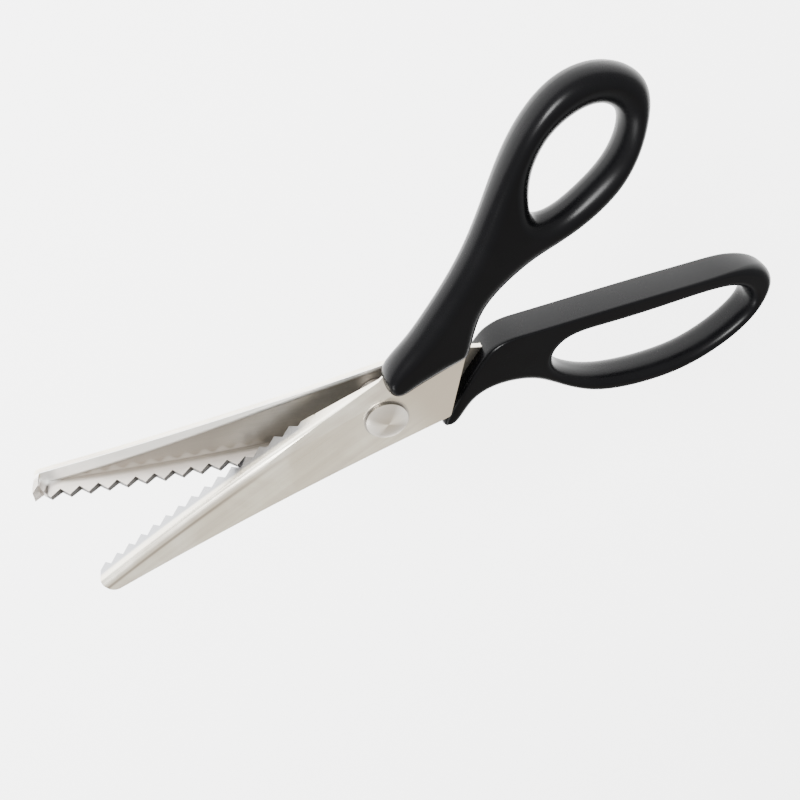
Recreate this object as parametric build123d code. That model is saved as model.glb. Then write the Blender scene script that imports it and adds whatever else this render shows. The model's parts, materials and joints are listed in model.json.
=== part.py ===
from build123d import *
import math
import os

# Pinking shears: two pressed sheet-steel blades with toothed, folded edges, a screw pivot
# between spacer collars, and a moulded grip on each tang.
#
# Frame: millimetres, +Z up along the pivot axis. The origin is on that axis, in the flat
# outer face of the pivot nut. +X runs towards the tip of the lower blade. The upper half
# is drawn open by OPENING_DEG, as the shears stand when held ready to cut.
#
# Each half is drawn in a flat "half frame": X towards its tip, -Y towards its cutting
# edge, and Z away from the mating plane, where the two sets of teeth meet.

# ---- blades ----
BLADE_REACH = 98.0        # pivot axis to blade tip
EDGE_OFFSET = 12.3        # pivot axis to the cutting edge, at its two ends
EDGE_BOW = 0.8            # how far the middle of the cutting edge stands out
HEEL_REACH = 24.0         # pivot axis to the first full tooth
SHEET = 2.0               # pressed sheet thickness
BLADE_DEPTH = 6.2         # mating plane to the blade's outer face
SHOULDER_RADIUS = 2.0     # outside of the fold
WALL_DRAFT_DEG = 11.0     # lean of the folded wall's inner face
TIP_WIDTH = 5.4           # blade width at the tip
TIP_RADIUS = 2.8
SPINE_AT_PIVOT = 10.2     # pivot axis to the spine
SPINE_SAG = 1.1           # bend of the spine from a straight line
TAIL_X = 13.5             # rear corner of the plate, behind the pivot
TAIL_Y = 13.2
TAIL_RADIUS = 1.6
HEEL_FADE = 28.0          # length over which the folded wall dies out
SHOULDER_RUN = 36.0       # length of the flat that widens the shoulder at the heel

# ---- teeth ----
TOOTH_PITCH = 5.0
TOOTH_HEIGHT = 2.4
TOOTH_CLEARANCE = 0.10    # gap between meshed flanks, along the pivot axis

# ---- pivot ----
SHANK_DIAMETER = 6.0
RUNNING_CLEARANCE = 0.05  # radial, shank to the upper half's bore
FIT_CLEARANCE = 0.02      # radial, shank to parts that turn with the lower half
COLLAR_DIAMETER = 13.0
FRICTION_WASHER = 0.5     # thickness, centred on the mating plane
FRICTION_DIAMETER = 12.0
AXIAL_PLAY = 0.03
HEAD_DIAMETER = 11.9
HEAD_SIDE = 0.9           # straight side of the head
HEAD_DOME = 1.5           # height of the dome over its side
HEAD_WASHER_DIAMETER = 13.0
HEAD_WASHER = 0.4
SPRING_DIAMETER = 11.0
SPRING_HEIGHT = 0.9
SPRING_SHEET = 0.5
NUT_ACROSS_FLATS = 10.0
NUT_HEIGHT = 3.2

# ---- grips ----
GRIP_THICKNESS = 11.6
THUMB_EDGE = 2.6          # rounding of the thumb grip's rims
FINGER_EDGE = 1.9         # rounding of the finger grip's rims
THUMB_CORNER = 2.8        # corners of the thumb grip's front, seen from above
FINGER_CORNER = 2.6       # corners of the finger grip's front
THUMB_REACH = 101.7       # pivot axis to the far end of the thumb bow, along the half
THUMB_DROP = 50.4         # and to the bow's outer side, across it
FINGER_REACH = 118.0      # pivot axis to the far end of the finger bow
FINGER_SPREAD = 26.0      # pivot axis to the finger bow's straight side
THUMB_FRONT = ((-7.63, -4.44), (-6.51, -11.34))  # corners of its front on the plate
FINGER_FRONT = (
    (-28.32, -4.81),   # neck behind the front lobe
    (-21.59, -14.43),  # back of the front lobe
    (-17.23, -11.18),  # tip of the front lobe
    (-30.92, 12.48),   # foot and top of the front corner
    (-34.46, 15.47),
)
LOCK_HOLE = 4.0           # holes in the tangs that the moulding fills

# ---- travel ----
OPENING_DEG = 33.8        # between the cutting edges, as drawn

MATING_Z = NUT_HEIGHT + SPRING_HEIGHT + BLADE_DEPTH
PLATE_IN = BLADE_DEPTH - SHEET
BORE_UPPER = SHANK_DIAMETER / 2 + RUNNING_CLEARANCE
BORE_LOWER = SHANK_DIAMETER / 2 + FIT_CLEARANCE
GRIP_BASE = BLADE_DEPTH - SHEET / 2 - GRIP_THICKNESS / 2
TOOL = 60.0               # size of cutting tools that only have to reach past the part


def place_upper(shape):
    return Pos(0, 0, MATING_Z) * Rot(0, 0, OPENING_DEG) * shape


def place_lower(shape):
    return Pos(0, 0, MATING_Z) * Rot(180, 0, 0) * shape


def write(name, shape):
    shape.label = name
    export_step(shape, "parts/" + name + ".step")


def thumb_point(along, across):
    """A point given as shares of the thumb bow's reach and drop."""
    return (-along * THUMB_REACH, -across * THUMB_DROP)


def finger_point(along, across):
    """A point given as shares of the finger bow's reach and spread."""
    return (-along * FINGER_REACH, across * FINGER_SPREAD)


def upper_tail():
    """Rear of the upper plate, from the heel of the edge round the tang to the rear corner."""
    return [
        (-SHANK_DIAMETER, -EDGE_OFFSET + 1.3),
        thumb_point(0.30, 0.335),
        thumb_point(0.565, 0.475),
        thumb_point(0.58, 0.36),
        thumb_point(0.325, 0.215),
        (-TAIL_X - 17.7, -4.4),
    ]


def lower_tail():
    """Rear of the lower plate, from the heel of the edge round the tang to the rear corner."""
    return [
        (-SHANK_DIAMETER, -EDGE_OFFSET + 0.9),
        (-TAIL_X - 6.0, -EDGE_OFFSET + 0.9),
        finger_point(0.23, -0.115),
        finger_point(0.385, 0.10),
        finger_point(0.385, 0.46),
        (FINGER_FRONT[3][0] + 0.83, FINGER_FRONT[3][1] - 1.43),
    ]


def blade_outline(tail):
    """Plan of one blade with its tang."""
    spine_tip = (BLADE_REACH, -EDGE_OFFSET + TIP_WIDTH)
    edge_tip = (BLADE_REACH, -EDGE_OFFSET)
    edge_heel = (HEEL_REACH - 2.0, -EDGE_OFFSET)
    edge_mid = ((BLADE_REACH + HEEL_REACH) / 2, -EDGE_OFFSET - EDGE_BOW)
    spine_root = (0, SPINE_AT_PIVOT)
    spine_mid = (BLADE_REACH / 2, (spine_tip[1] + SPINE_AT_PIVOT) / 2 - SPINE_SAG)
    edges = Curve() + [
        ThreePointArc(spine_root, spine_mid, spine_tip),
        Line(spine_tip, edge_tip),
        ThreePointArc(edge_tip, edge_mid, edge_heel),
        Polyline([edge_heel] + tail + [(-TAIL_X, TAIL_Y), spine_root]),
    ]
    face = make_face(edges)
    corners = [v for v in face.vertices() if abs(v.X - BLADE_REACH) < 0.01 and v.Y > -EDGE_OFFSET + 1]
    face = fillet(corners, TIP_RADIUS)
    rear = [v for v in face.vertices() if abs(v.X + TAIL_X) < 0.01]
    return fillet(rear, TAIL_RADIUS)


def blade_pocket():
    """The hollow behind the folded wall, open along the spine; its wall side leans."""
    wall = SHEET + 0.2
    near = (-TOOL, -EDGE_OFFSET + wall)
    heel = (HEEL_REACH - 2.0, -EDGE_OFFSET + wall)
    mid = ((BLADE_REACH + HEEL_REACH) / 2, -EDGE_OFFSET - EDGE_BOW + wall)
    tip = (BLADE_REACH - wall, -EDGE_OFFSET + wall)
    rim = (BLADE_REACH - wall, TOOL)
    edges = Curve() + [
        Line(near, heel),
        ThreePointArc(heel, mid, tip),
        Polyline([tip, rim, (-TOOL, TOOL), near]),
    ]
    face = make_face(edges)
    inner = [v for v in face.vertices() if abs(v.X - tip[0]) < 0.01 and abs(v.Y - tip[1]) < 0.01]
    face = fillet(inner, TIP_RADIUS)
    depth = PLATE_IN + TOOTH_HEIGHT
    return Pos(0, 0, PLATE_IN) * extrude(face, -depth, taper=-WALL_DRAFT_DEG)


def tooth_cutter(phase):
    """Everything below the zigzag: teeth run round the pivot, so the halves stay in mesh."""
    step = TOOTH_PITCH / 2
    count = math.ceil((BLADE_REACH - HEEL_REACH) / step) + 4
    start = BLADE_REACH + 1.25 + step
    low = -TOOTH_HEIGHT - 1
    points = []
    for k in range(count):
        side = 1 if (k + phase) % 2 else -1
        points.append((start - k * step, side * TOOTH_HEIGHT / 2 + TOOTH_CLEARANCE / 2))
    last_r = points[-1][0]
    profile = [(start, low)] + points + [(last_r, 0), (SHANK_DIAMETER, 0), (SHANK_DIAMETER, low)]
    return revolve(Plane.XZ * make_face(Polyline(profile, close=True)), Axis.Z)


def heel_cutter():
    """Takes the folded wall away behind the teeth, down to the flat plate."""
    start = HEEL_REACH - 3.0
    profile = [
        (start, -TOOTH_HEIGHT),
        (start, 0),
        (start - HEEL_FADE, PLATE_IN),
        (-2 * TOOL, PLATE_IN),
        (-2 * TOOL, -TOOTH_HEIGHT),
    ]
    return extrude(Plane.XZ * make_face(Polyline(profile, close=True)), TOOL, both=True)


def shoulder_cutter():
    """A flat across the shoulder that starts at the heel and widens towards the pivot."""
    start = HEEL_REACH + 6.0
    top = BLADE_DEPTH
    fold = -EDGE_OFFSET + SHOULDER_RADIUS
    p_front = Vector(start, fold, top)
    p_rear = Vector(start - SHOULDER_RUN, fold + 5.0, top)
    p_edge = Vector(start - SHOULDER_RUN, -EDGE_OFFSET, top - 0.8 * SHEET)
    normal = (p_edge - p_rear).cross(p_front - p_rear)
    if normal.Z < 0:
        normal = normal * -1
    plane = Plane(origin=p_rear, x_dir=(p_front - p_rear), z_dir=normal)
    return plane * Box(4 * TOOL, 4 * TOOL, TOOL, align=(Align.CENTER, Align.CENTER, Align.MIN))


def rim_cutter():
    """Slopes the wall at the tip down to the spine side."""
    high = -EDGE_OFFSET + SHEET + 1.0
    run = TIP_WIDTH - SHEET
    profile = [
        (high, -0.2),
        (high + run, PLATE_IN),
        (TOOL, PLATE_IN),
        (TOOL, -TOOTH_HEIGHT - 1),
        (high, -TOOTH_HEIGHT - 1),
    ]
    return extrude(Plane.YZ * make_face(Polyline(profile, close=True)), 4 * TOOL, both=True)


def blade(tail, phase, bore, lock_at):
    """One pressed blade in the half frame."""
    face = blade_outline(tail)
    solid = Pos(0, 0, -TOOTH_HEIGHT) * extrude(face, BLADE_DEPTH + TOOTH_HEIGHT)
    fold = [
        e for e in solid.edges().group_by(Axis.Z)[-1]
        if e.center().Y < -EDGE_OFFSET + 1 and e.center().X > 0
    ]
    solid = fillet(fold, SHOULDER_RADIUS)
    solid = solid - blade_pocket() - rim_cutter() - heel_cutter() - tooth_cutter(phase)
    solid = solid - shoulder_cutter()
    solid = solid - Cylinder(bore, 4 * BLADE_DEPTH)
    solid = solid - Pos(*lock_at) * Cylinder(LOCK_HOLE / 2, 4 * BLADE_DEPTH)
    return solid.solids().sort_by(SortBy.VOLUME)[-1]


def upper_blade():
    return blade(upper_tail(), 0, BORE_UPPER, thumb_point(0.47, 0.368))


def lower_blade():
    return blade(lower_tail(), 1, BORE_LOWER, finger_point(0.33, 0.255))


def collar(bore, gap):
    """Spacer welded inside a blade; it carries the plate away from the mating plane."""
    height = PLATE_IN - FRICTION_WASHER / 2 - gap
    ring = Cylinder(COLLAR_DIAMETER / 2, height) - Cylinder(bore, height)
    ring = chamfer(ring.edges().filter_by(GeomType.CIRCLE).group_by(SortBy.RADIUS)[-1], 0.3)
    return Pos(0, 0, PLATE_IN - height / 2) * ring


def washer(diameter, thickness, bore):
    return Cylinder(diameter / 2, thickness) - Cylinder(bore, thickness)


def pivot_screw():
    """Domed head, plain shank and a chamfered end flush with the nut."""
    seat = MATING_Z + BLADE_DEPTH + HEAD_WASHER
    radius = HEAD_DIAMETER / 2
    shank = SHANK_DIAMETER / 2
    head = Pos(0, 0, seat) * Cylinder(radius, HEAD_SIDE, align=(Align.CENTER, Align.CENTER, Align.MIN))
    ball = (radius ** 2 + HEAD_DOME ** 2) / (2 * HEAD_DOME)
    dome = Pos(0, 0, seat + HEAD_SIDE + HEAD_DOME - ball) * Sphere(ball)
    cap = Pos(0, 0, seat + HEAD_SIDE) * Cylinder(
        radius, HEAD_DOME, align=(Align.CENTER, Align.CENTER, Align.MIN)
    )
    stem = Cylinder(shank, seat, align=(Align.CENTER, Align.CENTER, Align.MIN))
    stem = chamfer(stem.edges().group_by(Axis.Z)[0], 0.5)
    return stem + head + (cap & dome)


def head_washer():
    height = MATING_Z + BLADE_DEPTH + HEAD_WASHER / 2
    return Pos(0, 0, height) * washer(HEAD_WASHER_DIAMETER, HEAD_WASHER, BORE_LOWER)


def friction_washer():
    thickness = FRICTION_WASHER - AXIAL_PLAY
    height = MATING_Z - AXIAL_PLAY / 2
    return Pos(0, 0, height) * washer(FRICTION_DIAMETER, thickness, BORE_LOWER)


def spring_washer():
    """Shallow cone washer between the lower plate and the nut."""
    inner = BORE_LOWER + 0.2
    outer = SPRING_DIAMETER / 2
    base = NUT_HEIGHT
    top = NUT_HEIGHT + SPRING_HEIGHT
    profile = [(inner, base), (outer, top - SPRING_SHEET), (outer, top), (inner, base + SPRING_SHEET)]
    return revolve(Plane.XZ * make_face(Polyline(profile, close=True)), Axis.Z)


def pivot_nut():
    body = extrude(RegularPolygon(NUT_ACROSS_FLATS / 2, 6, major_radius=False), NUT_HEIGHT)
    crown = revolve(
        Plane.XZ * make_face(Polyline([
            (0, 0),
            (NUT_ACROSS_FLATS / 2 - 0.2, 0),
            (NUT_ACROSS_FLATS / 2 + 0.9, 0.6),
            (NUT_ACROSS_FLATS / 2 + 0.9, NUT_HEIGHT),
            (0, NUT_HEIGHT),
        ], close=True)),
        Axis.Z,
    )
    return (body & crown) - Cylinder(SHANK_DIAMETER / 2, 4 * NUT_HEIGHT)


def round_corners(face, radius):
    """Rounds the plan's sharp corners and leaves its smooth joints alone."""
    corners = []
    edges = face.edges()
    for vertex in face.vertices():
        point = vertex.center()
        ways = []
        for edge in edges:
            if (edge @ 0 - point).length < 0.01:
                ways.append(edge % 0)
            elif (edge @ 1 - point).length < 0.01:
                ways.append(edge % 1 * -1)
        if len(ways) == 2 and ways[0].get_angle(ways[1]) < 170:
            corners.append(vertex)
    return fillet(corners, radius)


def thumb_plan():
    """Thumb grip: front boundary across the plate, tapering shank and an oval bow."""
    outer = [
        THUMB_FRONT[1],
        thumb_point(0.265, 0.376),
        thumb_point(0.455, 0.560),
        thumb_point(0.660, 0.853),
        thumb_point(0.825, 0.998),
        thumb_point(0.945, 0.922),
        thumb_point(1.000, 0.735),
        thumb_point(0.958, 0.545),
        thumb_point(0.850, 0.357),
        thumb_point(0.705, 0.292),
        thumb_point(0.560, 0.300),
        thumb_point(0.438, 0.262),
        thumb_point(0.372, 0.196),
        thumb_point(0.290, 0.055),
    ]
    face = make_face(Curve() + [
        Spline(outer),
        Polyline([outer[-1], THUMB_FRONT[0], outer[0]]),
    ])
    hole = make_face(Spline([
        thumb_point(0.914, 0.685),
        thumb_point(0.888, 0.776),
        thumb_point(0.828, 0.815),
        thumb_point(0.755, 0.797),
        thumb_point(0.688, 0.712),
        thumb_point(0.644, 0.593),
        thumb_point(0.630, 0.493),
        thumb_point(0.668, 0.448),
        thumb_point(0.752, 0.456),
        thumb_point(0.838, 0.502),
        thumb_point(0.895, 0.588),
    ], periodic=True))
    return round_corners(face, THUMB_CORNER) - hole


def finger_plan():
    """Finger grip: front lobe, neck and long oval bow with one straight side."""
    outer = [
        finger_point(0.885, 1.0),
        finger_point(0.960, 0.965),
        finger_point(0.997, 0.770),
        finger_point(0.985, 0.475),
        finger_point(0.925, 0.100),
        finger_point(0.810, -0.255),
        finger_point(0.700, -0.400),
        finger_point(0.570, -0.410),
        finger_point(0.475, -0.260),
        finger_point(0.400, -0.100),
        finger_point(0.310, -0.060),
        FINGER_FRONT[0],
    ]
    face = make_face(Curve() + [
        Spline(outer),
        Polyline([*FINGER_FRONT, outer[0]]),
    ])
    hole = make_face(Spline([
        finger_point(0.437, 0.230),
        finger_point(0.468, 0.420),
        finger_point(0.565, 0.530),
        finger_point(0.700, 0.635),
        finger_point(0.835, 0.745),
        finger_point(0.912, 0.720),
        finger_point(0.942, 0.540),
        finger_point(0.905, 0.260),
        finger_point(0.820, -0.010),
        finger_point(0.730, -0.145),
        finger_point(0.635, -0.195),
        finger_point(0.550, -0.170),
        finger_point(0.480, -0.050),
        finger_point(0.445, 0.085),
    ], periodic=True))
    return round_corners(face, FINGER_CORNER) - hole


def room_for_rim(plan):
    """Largest rim rounding that the bow's narrowest wall takes from both sides."""
    face = plan.faces()[0]
    return 0.45 * face.outer_wire().distance_to(face.inner_wires()[0])


def grip(plan, rounding, blade_solid):
    """A moulded grip in the half frame, formed round its tang."""
    rounding = min(rounding, room_for_rim(plan))
    solid = Pos(0, 0, GRIP_BASE) * extrude(plan, GRIP_THICKNESS)
    rims = solid.edges().group_by(Axis.Z)
    solid = fillet(rims[0] + rims[-1], rounding)
    return (solid - blade_solid).solids().sort_by(SortBy.VOLUME)[-1]


def main():
    os.makedirs("parts", exist_ok=True)
    upper = upper_blade()
    lower = lower_blade()
    write("upper_blade", place_upper(upper))
    write("lower_blade", place_lower(lower))
    write("upper_collar", place_upper(collar(BORE_UPPER, 0)))
    write("lower_collar", place_lower(collar(BORE_LOWER, 0)))
    write("pivot_screw", pivot_screw())
    write("head_washer", head_washer())
    write("friction_washer", friction_washer())
    write("spring_washer", spring_washer())
    write("pivot_nut", pivot_nut())
    write("thumb_grip", place_upper(grip(thumb_plan(), THUMB_EDGE, upper)))
    write("finger_grip", place_lower(grip(finger_plan(), FINGER_EDGE, lower)))


main()
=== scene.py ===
import json
import math

import bpy
import numpy as np
from bpy.props import FloatProperty, FloatVectorProperty, PointerProperty
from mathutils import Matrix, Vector
from mathutils.geometry import tessellate_polygon


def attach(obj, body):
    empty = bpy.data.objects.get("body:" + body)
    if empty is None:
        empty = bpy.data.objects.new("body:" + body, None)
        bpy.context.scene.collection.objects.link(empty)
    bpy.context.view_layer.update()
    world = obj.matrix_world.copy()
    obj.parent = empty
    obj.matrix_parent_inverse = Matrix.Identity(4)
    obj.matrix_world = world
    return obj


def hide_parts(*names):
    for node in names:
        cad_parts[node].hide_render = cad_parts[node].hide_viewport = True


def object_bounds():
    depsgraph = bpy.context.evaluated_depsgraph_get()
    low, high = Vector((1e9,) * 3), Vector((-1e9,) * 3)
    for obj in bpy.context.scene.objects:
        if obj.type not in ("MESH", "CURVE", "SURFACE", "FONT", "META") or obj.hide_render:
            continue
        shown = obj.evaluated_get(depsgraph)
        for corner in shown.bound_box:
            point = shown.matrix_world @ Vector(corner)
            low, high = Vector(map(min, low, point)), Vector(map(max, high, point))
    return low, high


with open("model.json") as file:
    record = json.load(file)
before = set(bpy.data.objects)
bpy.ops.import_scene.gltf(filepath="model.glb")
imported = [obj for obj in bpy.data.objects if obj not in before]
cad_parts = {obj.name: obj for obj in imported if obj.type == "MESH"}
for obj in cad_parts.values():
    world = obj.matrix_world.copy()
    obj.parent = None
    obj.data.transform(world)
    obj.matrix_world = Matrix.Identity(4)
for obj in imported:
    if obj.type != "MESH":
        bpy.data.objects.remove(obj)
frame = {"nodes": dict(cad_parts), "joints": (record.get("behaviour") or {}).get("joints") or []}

bl_info = {
    "name": "Pinking shears",
    "version": (1, 0, 0),
    "blender": (4, 5, 0),
    "location": "3D View > Sidebar > Shears",
    "description": "Finishes for a pair of pinking shears, and the studio round them",
    "category": "Object",
}

CAD_BOX = [list(map(float, corner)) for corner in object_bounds()]
NODES = frame["nodes"]

# The shears' own frame: the pivot axis is Z through the origin.
PIVOT_Z = frame["joints"][0]["pos_m"][2]
OPENING = math.radians(33.8)

# Blade sizes in metres, in each half's own frame: X runs from the pivot to the tip, -Y to
# the cutting edge and Z away from the mating plane.
BLADE_REACH = 0.098
TOOTH_PITCH = 0.005
PLATE_INSIDE = 0.0042     # height of the plate's inner face
SPINE_AT_PIVOT = 0.0102   # y of the spine beside the pivot
SPINE_FALL = 0.0171       # how much lower it is at the tip
SPINE_SAG = 0.0011        # how far it hangs below a straight line halfway
EDGE_OFFSET = 0.0123      # distance of the cutting edge's ends from the X axis
EDGE_BOW = 0.0008         # how far it stands out at its middle
EDGE_MIDDLE = 0.060
EDGE_HALF = 0.038
FOLD_RADIUS = 0.002
FOLD_START = 0.033
FOLD_END = 0.0958
FOLD_SKIN = 0.00002       # how far the smooth strip stands off the steel
FOLD_LAP = 0.0003         # how far it runs on past the quarter turn

# Limits of a blade's zones. A zone fades in from the first value to the second, in metres
# for places and as a share of the unit normal for facings.
FACING_TIP = (0.25, 0.45)
FACING_INWARD = (0.1, 0.4)
FACING_UP = (0.3, 0.8)
INWARD = (0, 0.7, -0.7)
UNDER_PLATE = (PLATE_INSIDE + 0.0004, PLATE_INSIDE + 0.0002)
TOOTH_HEIGHT = (0.0038, 0.0022)
TOOTH_START = (0.016, 0.022)
# The flanks of the teeth get painted shade.
FLANK_END = (BLADE_REACH - 0.0028, BLADE_REACH - 0.0036)
# The heel zone carries painted shade and a painted reflection of the black grip.
HEEL_REACH = (0.065, 0.020)
# The tail zone gets painted shade.
TAIL_REACH = (0.001, -0.013)
# The crease is a line of painted shade beside the fold.
CREASE_PLACE = 0.0029     # distance of the crease from the cutting edge
CREASE_WIDTH = (0.0009, 0.0)
CREASE_REACH = (0.020, 0.060)
# The lip gets a painted highlight and a bump.
LIP_AT_PIVOT = 0.0008
LIP_AT_TIP = 0.0030       # how much wider the lip is there
LIP_GROWTH = (0.010, 0.090)
LIP_BORDER = (-0.0007, 0.0003)
# The ripples are a painted reflection of the teeth in the hollow.
RIPPLE_MIDDLE = 0.0043    # distance of the ripples' outer ends from the cutting edge
RIPPLE_SWING = 0.0009
RIPPLE_FULL = 0.0026
RIPPLE_INNER = (0.0020, 0.0030)
RIPPLE_REACH = (0.030, 0.050)

# Steel finishes: how strongly the grain tints the colour, and the colours of the turned and
# stamped pieces. The screw's dome has painted sheen sectors and its side a painted reflection.
GRAIN_TINT = 0.17
STAMPED_TURN = 0.4
STAMPED_ROUGH = (0.26, 0.34)
TURNED_ROUGH = (0.35, 0.5)
WASHER_COLOR = (0.64, 0.62, 0.59)
COLLAR_COLOR = (0.40, 0.38, 0.36)
BRONZE_COLOR = (0.50, 0.34, 0.17)
SCREW_COLOR = (0.84, 0.78, 0.68)
# Painted sheen on the screw's dome: its dark and bright sector tones and their turn.
SHEEN_DARK_TONE = (0.50, 0.455, 0.39)
SHEEN_BRIGHT_TONE = (0.97, 0.92, 0.83)
SHEEN_TURN = 0.9
# Painted dark reflection of the grip on the screw head's side.
HEAD_SIDE_REFLECTION = (0.12, 0.11, 0.095)
HEAD_SIDE_FACING = (0.86, 0.45)
RINGS_PER_METRE = 9000.0

# The studio: the floor's half width, the lights (name, place, size and watts, each aimed at
# the pivot), and the warm dark patch of the room, by its direction and tint.
FLOOR_HALF = 4.0
LIGHTS = (
    ("key", (0.60, -0.70, 0.75), (0.30, 0.30), 30),
    ("side", (0.9, 0.5, 0.6), (0.5, 0.3), 8),
)
PATCH_WAY = (-0.15, 0.64, 0.75)
PATCH_TINT = (1.0, 0.95, 0.86)

# The viewing camera: its place from the pivot on the mating plane, and its turn and width
# of view in degrees.
CAMERA_PLACE = (0.03374, -0.16353, 0.19210)
CAMERA_TURN = (-39.326, -13.127, 177.974)
CAMERA_VIEW = 47.925
CAMERA_SENSOR = 36.0

# How finely the grips are drawn: places along an outline and along a hole, samples between
# two of its points, how far values are smoothed, and the share of a wall that a rim may take.
OUTLINE_COUNT = 520
HOLE_COUNT = 240
SAMPLES = 40
SMOOTHING = 5
OUTLINE_SHARE = 0.45
HOLE_SHARE = 0.54
RIM_STEPS = 11
FOLD_COUNT = (120, 15)

# Outlines of the grips in millimetres, seen from above. The thumb grip's is drawn with its
# blade along X, the finger grip's in the shears' own frame. Each place has x, y, and its
# rim's inset, drop and sharpness.
GRIP_MIDDLE = 5.2
GRIP_HALF = 5.8
THUMB_OUTLINE = (
    (-6.6, -9.6, 2.6, 4.6, 2.0),
    (-8.7, -12.7, 3.0, 5.2, 2.0),
    (-17.8, -16.1, 4.8, 5.6, 2.0),
    (-27.4, -19.8, 5.4, 5.7, 2.0),
    (-45.9, -29.0, 5.4, 5.7, 2.0),
    (-66.6, -43.7, 5.0, 5.7, 2.0),
    (-84.0, -50.2, 4.6, 5.7, 2.0),
    (-96.1, -46.3, 4.4, 5.7, 2.0),
    (-101.5, -37.0, 4.2, 5.7, 2.0),
    (-97.4, -27.5, 4.2, 5.7, 2.0),
    (-86.4, -18.0, 4.2, 5.7, 2.0),
    (-71.7, -14.8, 4.2, 5.7, 2.0),
    (-57.0, -15.1, 4.6, 5.7, 2.0),
    (-44.5, -13.2, 4.6, 5.7, 2.0),
    (-37.8, -9.9, 4.2, 5.7, 2.0),
    (-31.8, -4.9, 3.0, 5.0, 2.0),
    (-29.0, -3.1, 2.6, 4.8, 2.0),
    (-24.0, -3.0, 4.6, 4.8, 2.0),
    (-13.3, -4.1, 4.6, 4.8, 2.0),
    (-8.8, -4.9, 3.4, 4.8, 2.0),
    (-6.7, -6.9, 2.8, 4.8, 2.0),
)
THUMB_HOLE = (
    (-92.9, -34.5, 5.6, 5.7, 1.35),
    (-90.3, -39.1, 5.6, 5.7, 1.35),
    (-84.2, -41.1, 5.6, 5.7, 1.35),
    (-76.8, -40.2, 5.6, 5.7, 1.35),
    (-70.0, -35.9, 5.0, 5.7, 1.45),
    (-65.5, -29.9, 4.4, 5.7, 1.6),
    (-64.1, -24.9, 4.0, 5.7, 1.8),
    (-68.0, -22.6, 4.0, 5.7, 1.8),
    (-76.5, -23.0, 4.4, 5.7, 1.6),
    (-85.2, -25.3, 5.0, 5.7, 1.45),
    (-91.0, -29.6, 5.4, 5.7, 1.35),
)
FINGER_OUTLINE = (
    (-104.4, -25.8, 1.4, 1.6, 2.0),
    (-113.2, -24.9, 3.0, 4.6, 2.0),
    (-117.4, -20.0, 3.2, 5.6, 2.0),
    (-116.1, -12.4, 3.2, 5.6, 2.0),
    (-109.2, -2.6, 3.2, 5.6, 2.0),
    (-95.6, 6.6, 3.2, 5.6, 2.0),
    (-82.6, 10.4, 3.2, 5.6, 2.0),
    (-67.3, 10.7, 3.2, 5.6, 2.0),
    (-56.1, 6.8, 3.6, 5.6, 2.0),
    (-47.2, 2.6, 3.6, 5.6, 2.0),
    (-36.6, 1.6, 3.4, 5.0, 2.0),
    (-28.4, 5.0, 3.0, 4.6, 2.0),
    (-23.8, 11.0, 2.4, 4.0, 2.0),
    (-20.7, 13.2, 2.2, 3.0, 2.0),
    (-18.3, 12.4, 2.2, 3.0, 2.0),
    (-18.8, 9.6, 1.8, 2.6, 2.0),
    (-22.6, 2.0, 1.4, 2.0, 2.0),
    (-30.2, -10.6, 1.4, 2.0, 2.0),
    (-33.0, -13.4, 1.2, 1.8, 2.0),
    (-36.8, -15.2, 0.8, 1.0, 2.0),
    (-43.0, -16.4, 0.7, 0.9, 2.0),
    (-60.0, -19.1, 0.7, 0.9, 2.0),
    (-80.0, -22.2, 0.7, 0.9, 2.0),
    (-96.0, -24.6, 0.9, 1.1, 2.0),
)
FINGER_HOLE = (
    (-51.6, -6.0, 3.0, 5.0, 2.0),
    (-55.2, -10.9, 3.0, 5.0, 2.0),
    (-66.7, -13.8, 2.8, 5.0, 2.0),
    (-82.6, -16.5, 2.8, 5.0, 2.0),
    (-98.5, -19.4, 2.8, 5.0, 2.0),
    (-107.6, -18.7, 2.8, 5.0, 2.0),
    (-111.1, -14.0, 2.8, 5.0, 2.0),
    (-106.8, -6.8, 2.8, 5.0, 2.0),
    (-96.8, 0.3, 2.8, 5.0, 2.0),
    (-86.1, 3.8, 2.8, 5.0, 2.0),
    (-74.9, 5.1, 2.8, 5.0, 2.0),
    (-64.9, 4.4, 2.8, 5.0, 2.0),
    (-56.6, 1.3, 3.0, 5.0, 2.0),
    (-52.5, -2.2, 3.0, 5.0, 2.0),
)


# ---------------------------------------------------------------- settings


def color_property(name, description, default):
    """A colour in the sidebar."""
    return FloatVectorProperty(
        name=name, description=description, subtype="COLOR", size=3, min=0, max=1,
        default=default)


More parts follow.
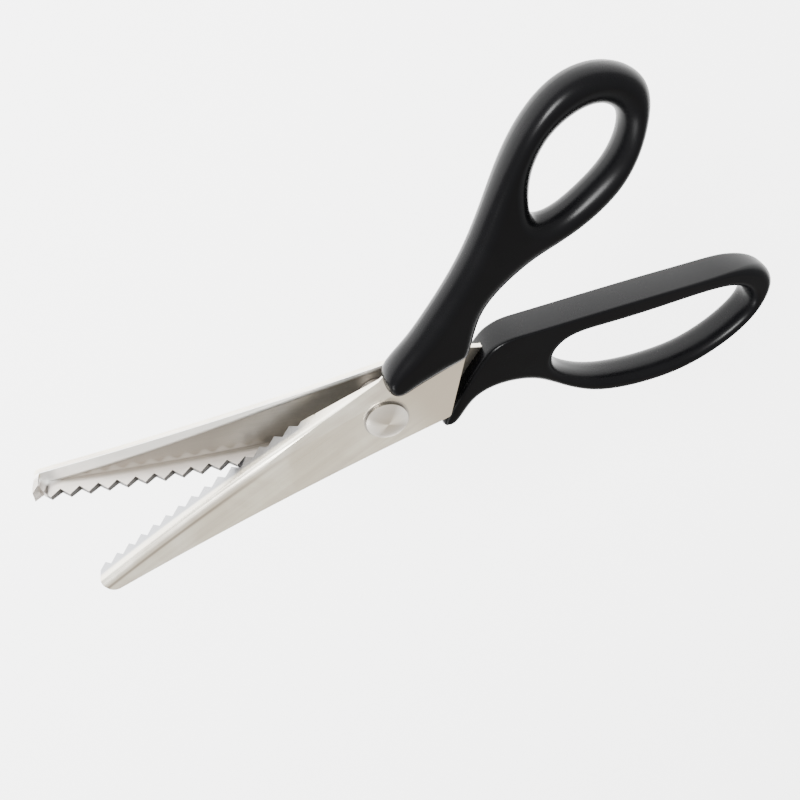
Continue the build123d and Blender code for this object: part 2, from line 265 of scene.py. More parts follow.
class SteelSettings(bpy.types.PropertyGroup):
    """Colours and grain of the pressed blades and the pivot, with the blades' painted shade,
    highlight and reflections.
    """

    blade_color: color_property(
        "Blade colour", "Base colour of the stainless blades", (0.95, 0.88, 0.765))
    # Painted shade inside the hollow, over its duller steel.
    hollow_dull_and_shade_color: color_property(
        "Hollow colour", "Duller tone inside the hollow of each blade", (0.29, 0.262, 0.228))
    # Painted shade and a painted reflection of the black grip, deeper in the hollow towards the
    # pivot.
    heel_shade_color: color_property(
        "Heel colour", "Darker tone of the hollow towards the pivot", (0.20, 0.187, 0.165))
    tooth_color: color_property(
        "Tooth colour", "Tone of the wall's outside round the cut teeth", (0.34, 0.345, 0.36))
    # Painted shade on the flanks of the teeth.
    flank_shade_color: color_property(
        "Flank colour", "Tone of the ground flanks of the teeth", (0.12, 0.115, 0.11))
    strip_color: color_property(
        "Strip colour", "Tone of the wall's inside above the teeth", (0.56, 0.52, 0.48))
    # Painted reflection of the teeth inside the hollow, as pale ripples.
    ripple_reflection_color: color_property(
        "Ripple colour", "Pale marks of the pressed teeth inside the fold", (0.47, 0.44, 0.40))
    # Painted highlight on the lip along the spine, inside the hollow.
    lip_highlight_color: color_property(
        "Lip colour", "Bright lip along the spine, inside the hollow", (0.98, 0.97, 0.94))
    # Painted shade on the plate behind the pivot.
    tail_shade_color: color_property(
        "Tail colour", "Duller tone of the plate behind the pivot", (0.66, 0.59, 0.49))
    # Painted shade along the line beside the fold.
    crease_shade_color: color_property(
        "Crease colour", "Tone of the soft line beside the fold", (0.38, 0.33, 0.275))
    grain_length: FloatProperty(
        name="Grain length", description="Length of the brushing marks",
        unit="LENGTH", default=0.030, min=0.001)
    grain_width: FloatProperty(
        name="Grain width", description="Width of the brushing marks",
        unit="LENGTH", default=0.00035, min=0.00005)


class GripSettings(bpy.types.PropertyGroup):
    """Colour and surface of the moulded grips."""

    color: color_property(
        "Grip colour", "Base colour of the moulded plastic", (0.0016, 0.0016, 0.0019))
    texture_size: FloatProperty(
        name="Moulding texture", description="Size of the faint texture left by the mould",
        unit="LENGTH", default=0.0009, min=0.0001)


class StageSettings(bpy.types.PropertyGroup):
    """Floor and light of the studio."""

    floor_drop: FloatProperty(
        name="Floor drop", description="How far the floor lies under the shears",
        unit="LENGTH", default=0.16, min=0)
    floor_color: color_property("Floor colour", "Base colour of the floor", (0.93, 0.93, 0.93))
    floor_glow: FloatProperty(
        name="Floor glow", description="Light given off by the floor, as a backlit table does",
        default=3.2, min=0)
    room_light: FloatProperty(
        name="Room light", description="Strength of the even light from all round",
        default=1.5, min=0)
    dark_ceiling: FloatProperty(
        name="Dark ceiling", description="Light left in the dark part of the room",
        default=0.80, min=0)


# ---------------------------------------------------------------- node helpers


def socket(group, name, out=False, value=None):
    """Adds a named number socket to a shader node group."""
    item = group.interface.new_socket(
        name=name, in_out="OUTPUT" if out else "INPUT", socket_type="NodeSocketFloat")
    if value is not None:
        item.default_value = value


def new_group(name, inputs, outputs):
    """An empty node group with its sockets, and its input and output nodes."""
    group = bpy.data.node_groups.new(name, "ShaderNodeTree")
    for label, value in inputs.items():
        socket(group, label, value=value)
    for label in outputs:
        socket(group, label, out=True)
    return group, group.nodes.new("NodeGroupInput"), group.nodes.new("NodeGroupOutput")


def node(tree, kind, links=None, **settings):
    """Adds a node, sets its properties, and links or sets its inputs by name or number."""
    made = tree.nodes.new(kind)
    for key, value in settings.items():
        setattr(made, key, value)
    for key, value in (links or {}).items():
        target = made.inputs[key]
        if isinstance(value, bpy.types.NodeSocket):
            tree.links.new(value, target)
        else:
            target.default_value = value
    return made


def maths(tree, operation, *values):
    """The result of a Math node on the values."""
    return node(tree, "ShaderNodeMath", dict(enumerate(values)), operation=operation).outputs[0]


def product(tree, first, *others):
    """All the values multiplied together."""
    for other in others:
        first = maths(tree, "MULTIPLY", first, other)
    return first


def vector_maths(tree, operation, a, b):
    """The vector that a Vector Math node makes of a and b."""
    return node(tree, "ShaderNodeVectorMath", {0: a, 1: b}, operation=operation).outputs[0]


def turned_about_z(tree, vector, angle):
    """The vector turned about Z."""
    return node(tree, "ShaderNodeVectorRotate", {
        "Vector": vector, "Angle": angle}, rotation_type="Z_AXIS").outputs[0]


def split(tree, vector):
    """The three parts of a vector."""
    return node(tree, "ShaderNodeSeparateXYZ", {0: vector}).outputs


def fade(tree, value, limits):
    """A smooth step from 0 at the first limit to 1 at the second."""
    low, high = limits
    return node(tree, "ShaderNodeMapRange", {
        "Value": value, "From Min": low, "From Max": high},
        interpolation_type="SMOOTHSTEP").outputs[0]


def ramp(tree, factor, stops):
    """A colour ramp with the given (position, grey or colour) stops."""
    made = node(tree, "ShaderNodeValToRGB", {"Fac": factor})
    elements = made.color_ramp.elements
    while len(elements) < len(stops):
        elements.new(0.5)
    for element, (place, tone) in zip(elements, stops):
        element.position = place
        element.color = (*tone, 1) if isinstance(tone, tuple) else (tone, tone, tone, 1)
    return made.outputs["Color"]


def mix(tree, factor, a, b, blend="MIX"):
    """Mixes two colours."""
    made = node(tree, "ShaderNodeMix", data_type="RGBA", blend_type=blend)
    for index, value in ((0, factor), (6, a), (7, b)):
        if isinstance(value, bpy.types.NodeSocket):
            tree.links.new(value, made.inputs[index])
        else:
            made.inputs[index].default_value = value
    return made.outputs[2]


def brushing_group():
    """Brushed marks: noise on coordinates turned about Z and stretched along the marks."""
    if "Brushing" in bpy.data.node_groups:
        return bpy.data.node_groups["Brushing"]
    group, start, end = new_group(
        "Brushing", {"Turn": 0.0, "Length": 0.03, "Width": 0.0004}, ("Fine", "Broad"))
    place = node(group, "ShaderNodeTexCoord").outputs["Object"]
    turned = turned_about_z(group, place, start.outputs["Turn"])
    along = maths(group, "DIVIDE", 1.0, start.outputs["Length"])
    across = maths(group, "DIVIDE", 1.0, start.outputs["Width"])
    scale = node(group, "ShaderNodeCombineXYZ", {"X": along, "Y": across, "Z": across})
    stretched = vector_maths(group, "MULTIPLY", turned, scale.outputs[0])
    fine = node(group, "ShaderNodeTexNoise", {
        "Vector": stretched, "Scale": 1.0, "Detail": 4.0, "Roughness": 0.6})
    broad = node(group, "ShaderNodeTexNoise", {
        "Vector": vector_maths(group, "MULTIPLY", stretched, (0.5, 0.12, 0.12)),
        "Scale": 1.0, "Detail": 3.0, "Roughness": 0.5})
    group.links.new(fine.outputs["Fac"], end.inputs["Fine"])
    group.links.new(broad.outputs["Fac"], end.inputs["Broad"])
    return group


def smudge_group():
    """Finger smudges and faint wear, as cloudy noise."""
    if "Smudges" in bpy.data.node_groups:
        return bpy.data.node_groups["Smudges"]
    group, start, end = new_group("Smudges", {"Size": 0.02}, ("Amount",))
    cloud = node(group, "ShaderNodeTexNoise", {
        "Vector": node(group, "ShaderNodeTexCoord").outputs["Object"],
        "Scale": maths(group, "DIVIDE", 1.0, start.outputs["Size"]),
        "Detail": 5.0, "Roughness": 0.55, "Distortion": 0.4})
    group.links.new(cloud.outputs["Fac"], end.inputs["Amount"])
    return group


def edge_distance(tree, x, y):
    """Distance from the bowed cutting edge, across the blade."""
    share = maths(tree, "DIVIDE", maths(tree, "SUBTRACT", x, EDGE_MIDDLE), EDGE_HALF)
    rest = maths(tree, "SUBTRACT", 1.0, maths(tree, "MULTIPLY", share, share))
    bow = maths(tree, "MULTIPLY", rest, EDGE_BOW)
    return maths(tree, "ADD", maths(tree, "ADD", y, bow), EDGE_OFFSET)


def spine_distance(tree, x, y):
    """Distance from the sagging spine, across the blade."""
    reach = maths(tree, "DIVIDE", x, BLADE_REACH)
    sag = maths(tree, "MULTIPLY", maths(tree, "SUBTRACT", 1.0, reach), 4 * SPINE_SAG)
    fall = maths(tree, "MULTIPLY", maths(tree, "ADD", sag, SPINE_FALL), reach)
    return maths(tree, "SUBTRACT", maths(tree, "SUBTRACT", SPINE_AT_PIVOT, fall), y)


def zone_masks(tree, place, facing):
    """The masks of a blade's zones, from place and facing in its half frame."""
    x, y, z = split(tree, place)
    facing_tip, _, facing_up = split(tree, facing)
    from_edge = edge_distance(tree, x, y)
    upward = fade(tree, facing_up, FACING_UP)

    inward_share = node(tree, "ShaderNodeVectorMath", {
        0: facing, 1: INWARD}, operation="DOT_PRODUCT").outputs["Value"]
    hollow = product(
        tree, fade(tree, inward_share, FACING_INWARD), fade(tree, z, UNDER_PLATE))

    teeth = product(tree, fade(tree, z, TOOTH_HEIGHT), fade(tree, x, TOOTH_START))
    steep = fade(tree, maths(tree, "ABSOLUTE", facing_tip), FACING_TIP)
    flank_shade = product(tree, teeth, steep, fade(tree, x, FLANK_END))

    away = maths(tree, "ABSOLUTE", maths(tree, "SUBTRACT", from_edge, CREASE_PLACE))
    crease_shade = product(tree, fade(tree, away, CREASE_WIDTH), upward, fade(tree, x, CREASE_REACH))

    growth = maths(tree, "MULTIPLY", fade(tree, x, LIP_GROWTH), LIP_AT_TIP)
    lip_width = maths(tree, "ADD", growth, LIP_AT_PIVOT)
    over = maths(tree, "SUBTRACT", lip_width, spine_distance(tree, x, y))
    lip = product(tree, fade(tree, over, LIP_BORDER), hollow)

    wave = maths(tree, "SINE", maths(tree, "MULTIPLY", x, 2 * math.pi / TOOTH_PITCH))
    crest = maths(tree, "ADD", maths(tree, "MULTIPLY", wave, RIPPLE_SWING), RIPPLE_MIDDLE)
    ripple_reflection = product(
        tree, fade(tree, from_edge, (crest, RIPPLE_FULL)),
        fade(tree, from_edge, RIPPLE_INNER), hollow, fade(tree, x, RIPPLE_REACH))

    tail_shade = product(tree, fade(tree, x, TAIL_REACH), upward)
    return {
        "Hollow": hollow, "Heel": fade(tree, x, HEEL_REACH), "Teeth": teeth, "Flank": flank_shade,
        "Crease": crease_shade, "Lip": lip, "Ripple": ripple_reflection, "Tail": tail_shade}


def zones_group():
    """Parts of a blade, told apart by place and facing in its own half frame."""
    if "Blade zones" in bpy.data.node_groups:
        return bpy.data.node_groups["Blade zones"]
    group, start, end = new_group(
        "Blade zones", {"Turn": 0.0, "Side": 1.0},
        ("Hollow", "Heel", "Teeth", "Flank", "Crease", "Lip", "Ripple", "Tail"))
    texture = node(group, "ShaderNodeTexCoord")
    side = node(group, "ShaderNodeCombineXYZ", {
        "X": 1.0, "Y": start.outputs["Side"], "Z": start.outputs["Side"]}).outputs[0]

    def half_frame(vector):
        turned = turned_about_z(group, vector, start.outputs["Turn"])
        return vector_maths(group, "MULTIPLY", turned, side)

    level = vector_maths(group, "SUBTRACT", texture.outputs["Object"], (0, 0, PIVOT_Z))
    masks = zone_masks(group, half_frame(level), half_frame(texture.outputs["Normal"]))
    for name, mask in masks.items():
        group.links.new(mask, end.inputs[name])
    return group


# ---------------------------------------------------------------- materials


def new_material(name):
    """A material with only a Principled shader, and its tree."""
    material = bpy.data.materials.new(name)
    material.use_nodes = True
    tree = material.node_tree
    return material, tree, tree.nodes["Principled BSDF"]


def smudges(tree, size):
    """The amount of smudging, in clouds of the given size."""
    made = node(tree, "ShaderNodeGroup", node_tree=smudge_group())
    made.inputs["Size"].default_value = size
    return made.outputs["Amount"]


def relief(tree, shader, height, strength, distance, **below):
    """Lets a height bend the light on the surface."""
    bump = node(tree, "ShaderNodeBump", {
        "Strength": strength, "Distance": distance, "Height": height, **below})
    tree.links.new(bump.outputs["Normal"], shader.inputs["Normal"])


def linked(shader, name):
    """What an input of the shader is linked to."""
    return shader.inputs[name].links[0].from_socket


def steel_material(name, color, turn, steel, rough=(0.24, 0.38), bump=0.08):
    """Brushed metal with grain in its tone, gloss and relief."""
    material, tree, shader = new_material(name)
    brush = node(tree, "ShaderNodeGroup", node_tree=brushing_group())
    brush.inputs["Turn"].default_value = turn
    brush.inputs["Length"].default_value = steel.grain_length
    brush.inputs["Width"].default_value = steel.grain_width
    smudge = smudges(tree, 0.018)
    dark = tuple(c * (1 - GRAIN_TINT) for c in color)
    light = tuple(min(1, c * (1 + GRAIN_TINT * 0.6)) for c in color)
    tone = ramp(tree, brush.outputs["Broad"], ((0.30, dark), (0.70, light)))
    stain = ramp(tree, smudge, ((0.40, (0.88, 0.86, 0.83)), (0.60, (1.0, 1.0, 1.0))))
    tree.links.new(mix(tree, 1.0, tone, stain, "MULTIPLY"), shader.inputs["Base Color"])
    shader.inputs["Metallic"].default_value = 1.0
    low, high = rough
    grain = ramp(tree, brush.outputs["Fine"], ((0.30, low), (0.72, high)))
    cloud = ramp(tree, smudge, ((0.35, 0.0), (0.75, 0.10)))
    tree.links.new(maths(tree, "ADD", grain, cloud), shader.inputs["Roughness"])
    relief(tree, shader, brush.outputs["Fine"], bump, 0.0002)
    return material


def blade_material(name, turn, side, steel):
    """Blade steel with its zones: hollow, heel, teeth, flanks, crease, lip, ripples, tail, most
    with painted light: shade in the hollow (over duller steel), heel, flanks, crease and tail, a
    highlight on the lip, reflections as ripples and at the heel.
    """
    material = steel_material(name, tuple(steel.blade_color), turn, steel)
    tree = material.node_tree
    shader = tree.nodes["Principled BSDF"]
    made = node(tree, "ShaderNodeGroup", node_tree=zones_group())
    made.inputs["Turn"].default_value = turn
    made.inputs["Side"].default_value = side
    zones = made.outputs

    def zone(name, under, color):
        return mix(tree, zones[name], under, (*color, 1))

    # Hollow tones: painted shade over duller steel, deeper at the heel, with a painted reflection
    # of the teeth and a painted highlight on the lip.
    hollow_tone = zone("Heel", (*steel.hollow_dull_and_shade_color, 1), steel.heel_shade_color)
    hollow_tone = zone("Ripple", hollow_tone, steel.ripple_reflection_color)
    hollow_tone = zone("Lip", hollow_tone, steel.lip_highlight_color)
    cut = zone("Hollow", (*steel.tooth_color, 1), steel.strip_color)
    cut = zone("Flank", cut, steel.flank_shade_color)
    tone = zone("Crease", linked(shader, "Base Color"), steel.crease_shade_color)
    tone = zone("Tail", tone, steel.tail_shade_color)
    tone = mix(tree, zones["Hollow"], tone, hollow_tone)
    tone = mix(tree, zones["Teeth"], tone, cut)
    tree.links.new(tone, shader.inputs["Base Color"])
    relief(tree, shader, zones["Lip"], 1.0, 0.0009, Normal=linked(shader, "Normal"))
    matt = maths(tree, "MULTIPLY_ADD", zones["Hollow"], 0.12, linked(shader, "Roughness"))
    tree.links.new(matt, shader.inputs["Roughness"])
    return material


def screw_material(name, steel):
    """Screw steel: turned marks round the axis, a painted sheen of pale and dark sectors on the
    dome and a painted dark reflection on its side.
    """
    material = steel_material(name, SCREW_COLOR, STAMPED_TURN, steel, STAMPED_ROUGH, 0.02)
    tree = material.node_tree
    shader = tree.nodes["Principled BSDF"]
    texture = node(tree, "ShaderNodeTexCoord")
    x, y, _ = split(tree, texture.outputs["Object"])
    # Pale and dark sectors round the axis: a painted sheen of the brushed dome.
    angle = maths(tree, "ARCTAN2", y, x)
    sheen_sector = maths(tree, "SINE", maths(tree, "MULTIPLY_ADD", angle, 2.0, SHEEN_TURN))
    painted_sheen = ramp(tree, sheen_sector, ((0.0, SHEEN_DARK_TONE), (0.9, SHEEN_BRIGHT_TONE)))
    tone = mix(tree, 0.8, linked(shader, "Base Color"), painted_sheen)
    # The head's side gets a painted dark reflection of the black grip.
    up = split(tree, texture.outputs["Normal"])["Z"]
    tone = mix(tree, fade(tree, up, HEAD_SIDE_FACING), tone, (*HEAD_SIDE_REFLECTION, 1))
    tree.links.new(tone, shader.inputs["Base Color"])
    out = vector_maths(tree, "MULTIPLY", texture.outputs["Object"], (1, 1, 0))
    radius = node(tree, "ShaderNodeVectorMath", {0: out}, operation="LENGTH").outputs["Value"]
    rings = node(tree, "ShaderNodeTexNoise", {
        "W": maths(tree, "MULTIPLY", radius, RINGS_PER_METRE),
        "Detail": 2.0}, noise_dimensions="1D").outputs["Fac"]
    tree.links.new(ramp(tree, rings, ((0.3, 0.24), (0.7, 0.36))), shader.inputs["Roughness"])
    return material


def plastic_material(name, grip):
    """Black moulded plastic: soft gloss, faint mould texture and finger smudges."""
    material, tree, shader = new_material(name)
    smudge = smudges(tree, 0.022)
    dark = tuple(grip.color)
    light = tuple(c * 1.4 for c in grip.color)
    tree.links.new(ramp(tree, smudge, ((0.35, dark), (0.75, light))), shader.inputs["Base Color"])
    tree.links.new(ramp(tree, smudge, ((0.30, 0.22), (0.75, 0.34))), shader.inputs["Roughness"])
    shader.inputs["Specular IOR Level"].default_value = 0.085
    texture = node(tree, "ShaderNodeTexNoise", {
        "Vector": node(tree, "ShaderNodeTexCoord").outputs["Object"],
        "Scale": 1 / grip.texture_size, "Detail": 2.0})
    relief(tree, shader, texture.outputs["Fac"], 0.05, 0.0001)
    return material


def paint(name, material):
    """Gives a CAD node one material."""
    for place in NODES[name].material_slots:
        place.material = material


# ---------------------------------------------------------------- shapes


def closed_spline(points, count):
    """A smooth closed curve through the points, at evenly spaced places.

    The points' x and y follow a periodic cubic spline whose parameter grows with the
    square root of the spacing; the other columns run straight from point to point.
    """
    table = np.array(points, float)
    xy = table[:, :2]
    n = len(xy)
    step = np.hypot(*(np.roll(xy, -1, 0) - xy).T) ** 0.5
    before = np.roll(step, 1)
    rise = (np.roll(xy, -1, 0) - xy) / step[:, None]
    system = np.diag(2 * (before + step))
    rows = np.arange(n)
    system[rows, (rows + 1) % n] += step
    system[rows, (rows - 1) % n] += before
    bend = np.linalg.solve(system, 6 * (rise - np.roll(rise, 1, 0)))
    knots = np.concatenate(([0.0], np.cumsum(step)))

    def at(t):
        i = np.clip(np.searchsorted(knots, t, side="right") - 1, 0, n - 1)
        h = step[i][:, None]
        u = (t - knots[i])[:, None]
        w = h - u
        j = (i + 1) % n
        curve = bend[i] * w ** 3 / (6 * h) + bend[j] * u ** 3 / (6 * h)
        curve += (xy[i] / h - bend[i] * h / 6) * w + (xy[j] / h - bend[j] * h / 6) * u
        share = u / h
        rest = table[i, 2:] * (1 - share) + table[j, 2:] * share
        return np.hstack((curve, rest))

    dense_t = np.linspace(0, knots[-1], SAMPLES * n, endpoint=False)
    dense = at(dense_t)
    gap = np.hypot(*(np.roll(dense[:, :2], -1, 0) - dense[:, :2]).T)
    length = np.concatenate(([0.0], np.cumsum(gap)))
    places = np.linspace(0, length[-1], count, endpoint=False)
    return at(np.interp(places, length, np.append(dense_t, knots[-1])))


def smooth_round(values):
    """Values along a closed curve, averaged with a bell-shaped weight."""
    n = len(values)
    away = np.minimum(np.arange(n), n - np.arange(n))
    bell = np.exp(-0.5 * (away / SMOOTHING) ** 2)
    spectrum = np.fft.fft(bell / bell.sum())
    return np.fft.ifft(np.fft.fft(values) * spectrum).real


def runs_left(curve):
    """Whether a closed curve runs anticlockwise, seen from above."""
    x, y = curve[:, 0], curve[:, 1]
    return np.sum(x * np.roll(y, -1) - np.roll(x, -1) * y) > 0


def inward(curve, is_hole):
    """Unit normals of a closed curve that point into the plastic."""
    ahead = np.roll(curve, -1, 0) - np.roll(curve, 1, 0)
    ahead /= np.hypot(*ahead.T)[:, None]
    normal = np.stack((-ahead[:, 1], ahead[:, 0]), 1)
    return normal * (1 if runs_left(curve) != is_hole else -1)


def tightest(curve, normal):
    """Largest inset that a curve takes before it folds over, from its bend at each place."""
    ahead = np.roll(curve, -1, 0) - curve
    gap = np.hypot(*ahead.T)
    turn = np.roll(normal, -1, 0) - normal
    rate = -np.sum(turn * ahead, 1) / gap ** 2
    straight = 1e-6
    return np.where(rate > straight, 0.9 / np.maximum(rate, straight), 1e3)


def rim_surface(curve, normal, inset, drop, sharp, middle):
    """The rounded rim along one closed outline, from the lower face round to the upper one.

    Each place has a side wall, then a quarter that moves in by inset and rises by drop:
    inset share u = sin(f)^2 and rise share (1 - (1 - u)^sharp)^(1/2), f from 0 to 90 degrees.
    A sharp of 2 is an ellipse, and one near 1 leaves a crease at the crest.
    """
    f = np.linspace(0, math.pi / 2, RIM_STEPS)[:, None]
    u = np.sin(f) ** 2
    rise = np.sqrt(np.clip(1 - (1 - u) ** sharp, 0, 1))
    across = curve[None] + normal[None] * (inset * u)[..., None]
    lift = (GRIP_HALF - drop) + drop * rise
    top = np.concatenate((across, (middle + lift)[..., None]), 2)
    base = np.concatenate((across, (middle - lift)[..., None]), 2)
    return np.concatenate((base[::-1], top), 0)


def rounded_rim(table, room, share, is_hole, middle):
    """The rim along one outline, kept within its share of the room to the other one."""
    curve = table[:, :2]
    normal = inward(curve, is_hole)
    inset = np.minimum(np.minimum(table[:, 2], room * share), tightest(curve, normal))
    inset = np.minimum(smooth_round(inset), inset + 0.3)
    drop, sharp = smooth_round(table[:, 3]), smooth_round(table[:, 4])
    return rim_surface(curve, normal, inset, drop, sharp, middle)


def band_faces(rows, count, flip):
    """Quads of a grid that closes on itself along its second direction."""
    i = np.arange(rows - 1)[:, None] * count
    j = np.arange(count)[None]
    k = (j + 1) % count
    quads = np.stack((i + j, i + k, i + count + k, i + count + j), -1).reshape(-1, 4)
    return quads[:, ::-1] if flip else quads


def web_faces(verts, rings, faces_up):
    """Triangles of the flat face between two rings of places, all facing up or down."""
    lines = [[Vector((*verts[i, :2], 0)) for i in ring] for ring in rings]
    found = np.concatenate(rings)[np.array(tessellate_polygon(lines))]
    a, b, c = (verts[found[:, k], :2] for k in range(3))
    area = (b - a)[:, 0] * (c - a)[:, 1] - (b - a)[:, 1] * (c - a)[:, 0]
    wrong = (area < 0) == faces_up
    found[wrong] = found[wrong][:, ::-1]
    return found


def turned(x, y, z, angle, lift):
    """Places turned about Z and raised."""
    c, s = math.cos(angle), math.sin(angle)
    return np.stack((c * x - s * y, s * x + c * y, z + lift), -1)


def moulded_grip(name, outline, hole, middle, turn=0.0):
    """A grip with a rounded rim along its outline and its hole, and flat faces between them.

    outline and hole are closed, in millimetres, each place with its rim's inset and drop
    and its sharpness. middle is the height of the grip's middle over the mating plane.
    """
    out = closed_spline(outline, OUTLINE_COUNT)
    cut = closed_spline(hole, HOLE_COUNT)
    apart = np.hypot(*(out[:, None, :2] - cut[None, :, :2]).transpose(2, 0, 1))
    rims = (rounded_rim(out, apart.min(1), OUTLINE_SHARE, False, middle),
            rounded_rim(cut, apart.min(0), HOLE_SHARE, True, middle))
    verts = np.concatenate([rim.reshape(-1, 3) for rim in rims])
    rows = len(rims[0])
    first = rows * OUTLINE_COUNT
    faces = [band_faces(rows, OUTLINE_COUNT, not runs_left(out)),
             band_faces(rows, HOLE_COUNT, runs_left(cut)) + first]
    faces = [tuple(quad) for quad in np.concatenate(faces).tolist()]
    for row, faces_up in ((0, False), (rows - 1, True)):
        rings = [start + row * count + np.arange(count)
                 for start, count in ((0, OUTLINE_COUNT), (first, HOLE_COUNT))]
        faces += [tuple(three) for three in web_faces(verts, rings, faces_up).tolist()]
    return add_mesh(name, turned(*(verts.T / 1000), turn, PIVOT_Z), faces)


def blade_fold(name, turn, side):
    """The smooth fold of one blade, as a strip that lies on the pressed steel.

    Along x in the half frame the cutting edge stands at y = -EDGE_OFFSET - EDGE_BOW (1 - s^2),
    s = (x - EDGE_MIDDLE) / EDGE_HALF. From there the strip runs up the wall, round a quarter
    turn (-r cos f, r sin f) and a little way onto the plate.
    """
    along, around = FOLD_COUNT
    x = np.linspace(FOLD_START, FOLD_END, along)[:, None]
    edge = -EDGE_OFFSET - EDGE_BOW * (1 - ((x - EDGE_MIDDLE) / EDGE_HALF) ** 2)
    f = np.linspace(0, math.pi / 2, around)
    r = FOLD_RADIUS + FOLD_SKIN
    across = np.concatenate(([-r], -r * np.cos(f), [FOLD_LAP]))[None]
    up = np.concatenate(([-FOLD_LAP], r * np.sin(f), [r]))[None]
    y = side * (edge + FOLD_RADIUS + across)
    x, z = np.broadcast_arrays(x, side * (PLATE_INSIDE + up))
    verts = turned(x, y, z, turn, PIVOT_Z)
    rows, columns = y.shape
    i = np.arange(rows - 1)[:, None] * columns
    j = np.arange(columns - 1)[None]
    quads = np.stack((i + j, i + columns + j, i + columns + j + 1, i + j + 1), -1)
    return add_mesh(name, verts.reshape(-1, 3), quads.reshape(-1, 4).tolist())


def add_mesh(name, verts, faces):
    """A smooth-shaded mesh object at the origin."""
    mesh = bpy.data.meshes.new(name)
    mesh.from_pydata(verts.tolist(), [], faces)
    mesh.polygons.foreach_set("use_smooth", np.ones(len(mesh.polygons), bool))
    mesh.update()
    return add_object(name, mesh)


def add_object(name, data):
    """An object at the origin, in the scene."""
    made = bpy.data.objects.new(name, data)
    bpy.context.scene.collection.objects.link(made)
    return made


# ---------------------------------------------------------------- operators


class SHEARS_OT_blades(bpy.types.Operator):
    """Finish the two pressed blades"""

    bl_idname = "shears.blades"
    bl_label = "Blades"

    def execute(self, context):
        steel = context.scene.shears_steel
        for half, turn, side in (("upper", OPENING, 1.0), ("lower", 0.0, -1.0)):
            material = blade_material(half + " blade steel", -turn, side, steel)
            paint(half + "_blade", material)
            fold = blade_fold(half + "_blade_fold", turn, side)
            fold.data.materials.append(material)
            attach(fold, half + "_half")
        return {"FINISHED"}


class SHEARS_OT_pivot(bpy.types.Operator):
    """Finish the pivot's screw, nut, washers and collars"""

    bl_idname = "shears.pivot"
    bl_label = "Pivot"

    def execute(self, context):
        steel = context.scene.shears_steel
        satin = steel_material(
            "satin pivot steel", WASHER_COLOR, STAMPED_TURN, steel, STAMPED_ROUGH, 0.03)
        for name in ("head_washer", "spring_washer", "pivot_nut"):
            paint(name, satin)
        paint("pivot_screw", screw_material("turned screw steel", steel))
        collar = steel_material(
            "turned collar steel", COLLAR_COLOR, 0.0, steel, TURNED_ROUGH, 0.05)
        for name in ("upper_collar", "lower_collar"):
            paint(name, collar)
        bronze = steel_material("bronze", BRONZE_COLOR, 0.0, steel, TURNED_ROUGH, 0.05)
        paint("friction_washer", bronze)
        return {"FINISHED"}


class SHEARS_OT_grips(bpy.types.Operator):
    """Finish the two moulded grips"""

    bl_idname = "shears.grips"
    bl_label = "Grips"

    def execute(self, context):
        plastic = plastic_material("black grip plastic", context.scene.shears_grip)
        thumb = moulded_grip(
            "thumb_grip_shell", THUMB_OUTLINE, THUMB_HOLE, GRIP_MIDDLE, OPENING)
        fingers = moulded_grip(
            "finger_grip_shell", FINGER_OUTLINE, FINGER_HOLE, -GRIP_MIDDLE)
        for shell, cad, body in ((thumb, "thumb_grip", "upper_half"),
                                 (fingers, "finger_grip", "lower_half")):
            shell.data.materials.append(plastic)
            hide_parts(cad)
            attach(shell, body)
        return {"FINISHED"}


class SHEARS_OT_stage(bpy.types.Operator):
    """Build the floor, the lights and the camera"""

    bl_idname = "shears.stage"
    bl_label = "Stage"

    def execute(self, context):
        settings = context.scene.shears_stage
        build_floor(settings)
        build_room(settings)
        for light in LIGHTS:
            area_light(*light)
        build_camera()
        return {"FINISHED"}


def build_floor(settings):
    """A wide flat floor under the shears, lit from within so that it stays pale."""
    low = CAD_BOX[0][2] - settings.floor_drop
    half = FLOOR_HALF
    mesh = bpy.data.meshes.new("floor")
    corners = [(-half, -half, low), (half, -half, low), (half, half, low), (-half, half, low)]
    mesh.from_pydata(corners, [], [(0, 1, 2, 3)])
    floor = add_object("floor", mesh)
    material, _, shader = new_material("floor white")
    shader.inputs["Base Color"].default_value = (*settings.floor_color, 1)
    shader.inputs["Roughness"].default_value = 0.8
    shader.inputs["Emission Color"].default_value = (1, 1, 1, 1)
    shader.inputs["Emission Strength"].default_value = settings.floor_glow
    mesh.materials.append(material)


def area_light(name, place, size, power):
    """A soft rectangular light at place, turned to the pivot."""
    data = bpy.data.lights.new(name, "AREA")
    data.shape = "RECTANGLE"
    data.size, data.size_y = size
    data.energy = power
    light = add_object(name, data)
    light.location = place
    light.rotation_euler = (-Vector(place)).to_track_quat("-Z", "Y").to_euler()


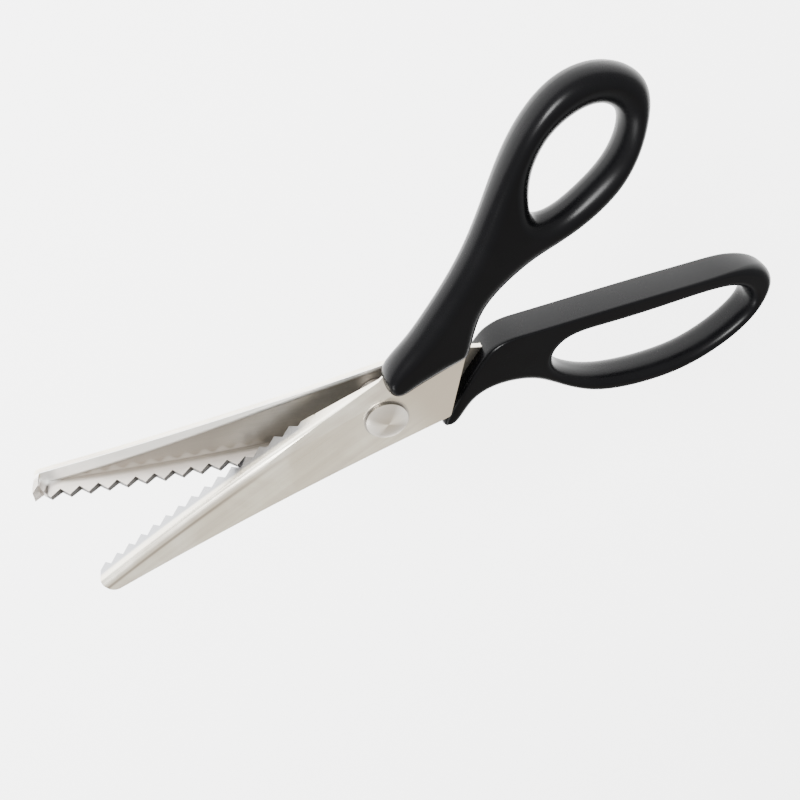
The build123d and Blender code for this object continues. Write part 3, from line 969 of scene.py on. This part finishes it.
def build_room(settings):
    """A pale room with one darker, warmer patch overhead."""
    world = bpy.data.worlds.new("studio")
    bpy.context.scene.world = world
    world.use_nodes = True
    tree = world.node_tree
    near = node(tree, "ShaderNodeVectorMath", {
        0: node(tree, "ShaderNodeTexCoord").outputs["Generated"],
        1: Vector(PATCH_WAY).normalized()}, operation="DOT_PRODUCT")
    patch = tuple(settings.dark_ceiling * part for part in PATCH_TINT)
    tone = ramp(tree, near.outputs["Value"], ((0.45, 1.0), (0.80, 0.85), (0.97, patch)))
    background = tree.nodes["Background"]
    tree.links.new(tone, background.inputs["Color"])
    background.inputs["Strength"].default_value = settings.room_light


def build_camera():
    """The viewing camera."""
    data = bpy.data.cameras.new("camera")
    data.sensor_width = CAMERA_SENSOR
    data.angle = math.radians(CAMERA_VIEW)
    camera = add_object("camera", data)
    x, y, height = CAMERA_PLACE
    camera.location = (x, y, PIVOT_Z + height)
    camera.rotation_euler = [math.radians(angle) for angle in CAMERA_TURN]
    bpy.context.scene.camera = camera


class SHEARS_PT_panel(bpy.types.Panel):
    """Pinking shears"""

    bl_idname = "SHEARS_PT_panel"
    bl_label = "Pinking shears"
    bl_space_type = "VIEW_3D"
    bl_region_type = "UI"
    bl_category = "Shears"

    def draw(self, context):
        layout = self.layout
        for group in ("shears_steel", "shears_grip", "shears_stage"):
            settings = getattr(context.scene, group)
            column = layout.column()
            for name in type(settings).__annotations__:
                column.prop(settings, name)
        for operator in OPERATORS:
            layout.operator(operator.bl_idname)


SETTINGS = {
    "shears_steel": SteelSettings,
    "shears_grip": GripSettings,
    "shears_stage": StageSettings,
}
OPERATORS = (SHEARS_OT_blades, SHEARS_OT_pivot, SHEARS_OT_grips, SHEARS_OT_stage)


def register():
    for settings in SETTINGS.values():
        bpy.utils.register_class(settings)
    for operator in OPERATORS:
        bpy.utils.register_class(operator)
    bpy.utils.register_class(SHEARS_PT_panel)
    for name, settings in SETTINGS.items():
        setattr(bpy.types.Scene, name, PointerProperty(type=settings))


def unregister():
    for name in SETTINGS:
        delattr(bpy.types.Scene, name)
    bpy.utils.unregister_class(SHEARS_PT_panel)
    for operator in reversed(OPERATORS):
        bpy.utils.unregister_class(operator)
    for settings in reversed(list(SETTINGS.values())):
        bpy.utils.unregister_class(settings)


def main():
    register()
    bpy.ops.shears.blades()
    bpy.ops.shears.pivot()
    bpy.ops.shears.grips()
    bpy.ops.shears.stage()


if __name__ == "__main__":
    main()
